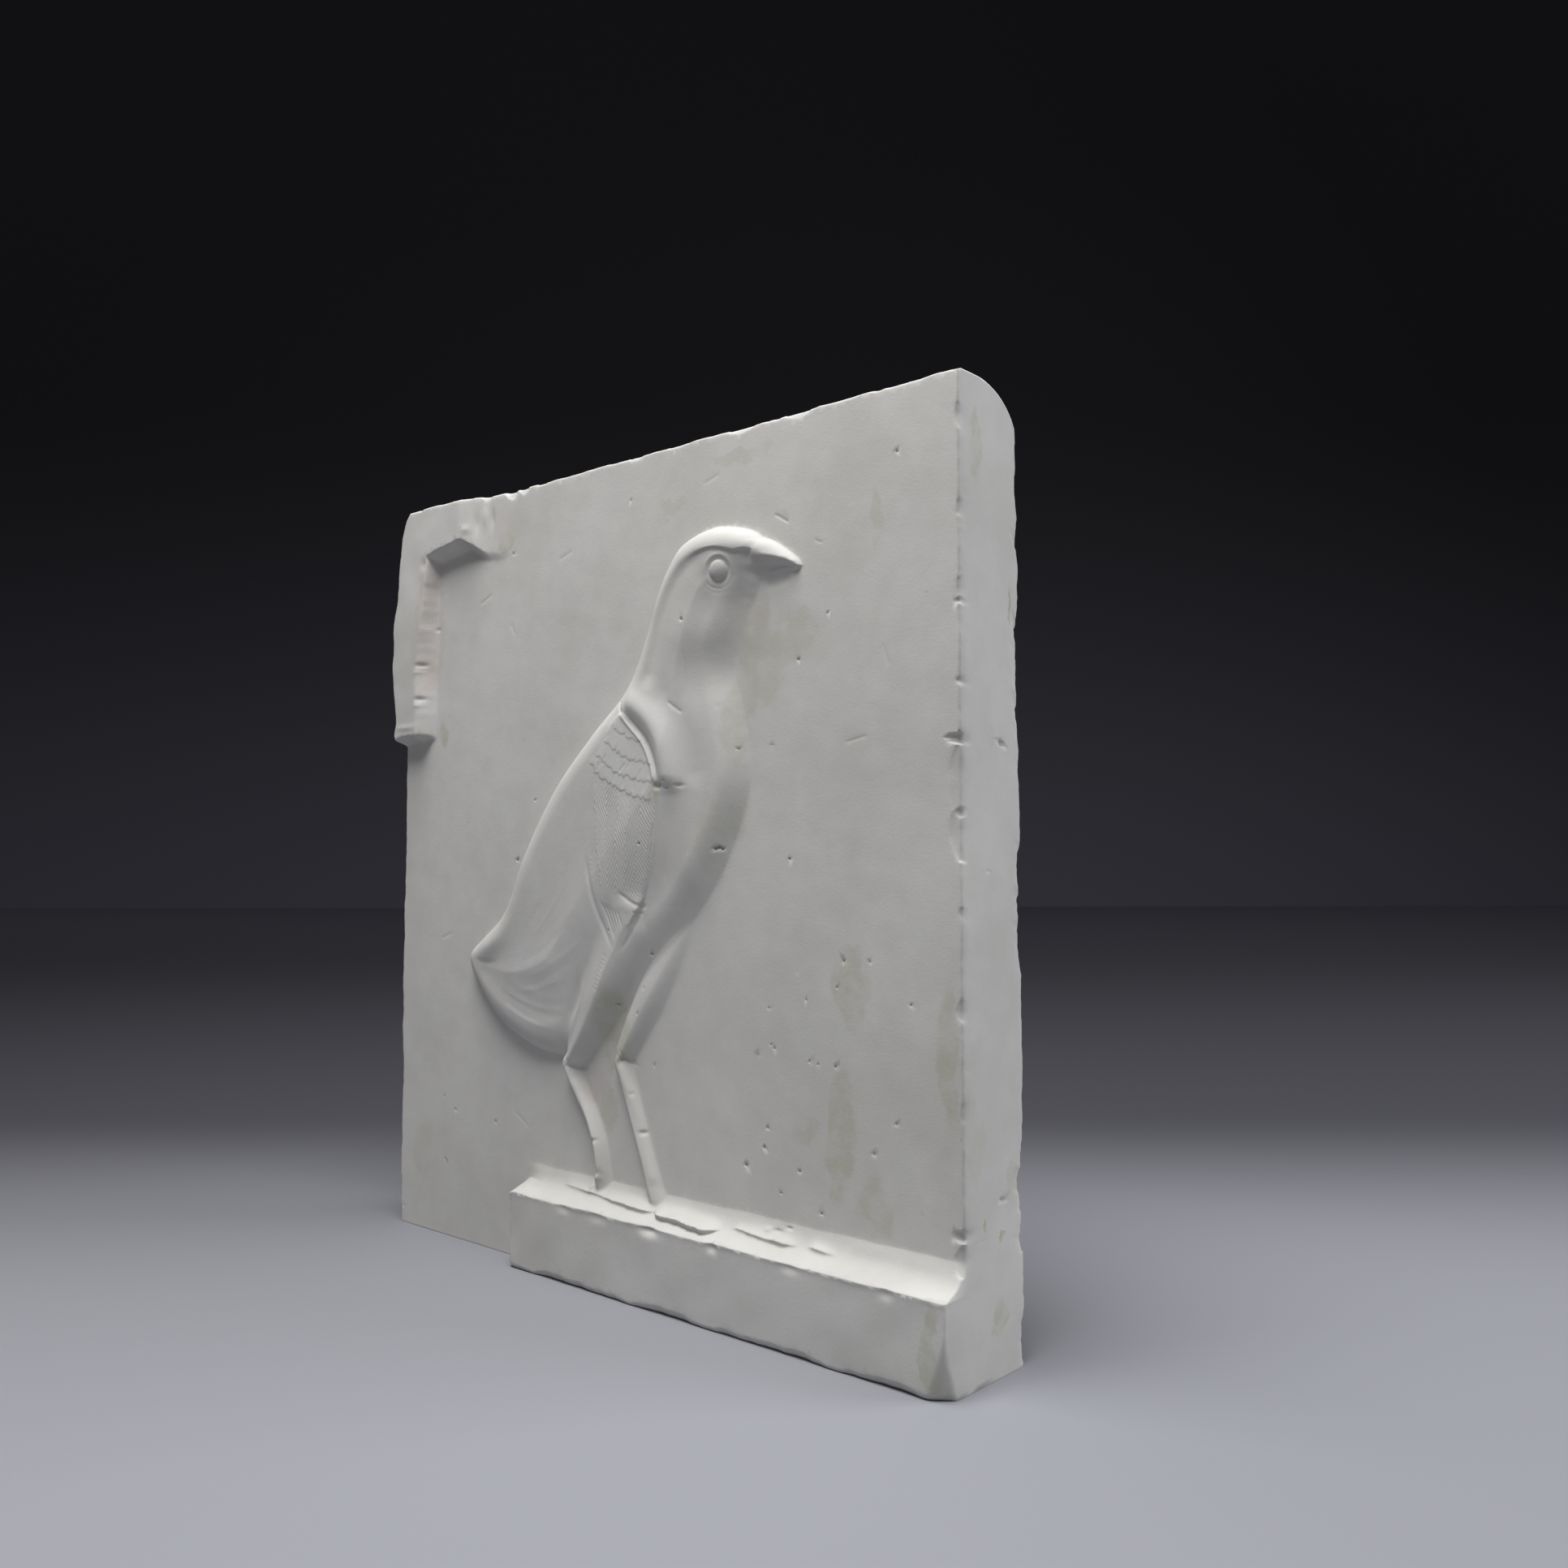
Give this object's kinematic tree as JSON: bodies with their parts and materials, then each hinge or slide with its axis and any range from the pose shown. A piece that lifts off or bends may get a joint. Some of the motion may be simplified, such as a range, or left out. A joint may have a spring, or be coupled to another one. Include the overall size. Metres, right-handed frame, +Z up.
{
  "type": "plaster bird relief",
  "caption": "Cast plaster slab with a quail chick in low relief, standing on a ledge, with a remnant of raised border at one corner.",
  "frame": {"origin": "middle of the underside of the bounding box, on the surface that the slab stands on", "axes": "+Z up the slab, -Y out of the carved face, +X towards the side that the bird faces"},
  "size_m": [0.2308, 0.0342, 0.24],
  "materials": {
    "plaster": "matt, dry, unpainted, slightly stained"
  },
  "bodies": {
    "root": {"plaster_relief": "plaster"}
  },
  "joints": []
}
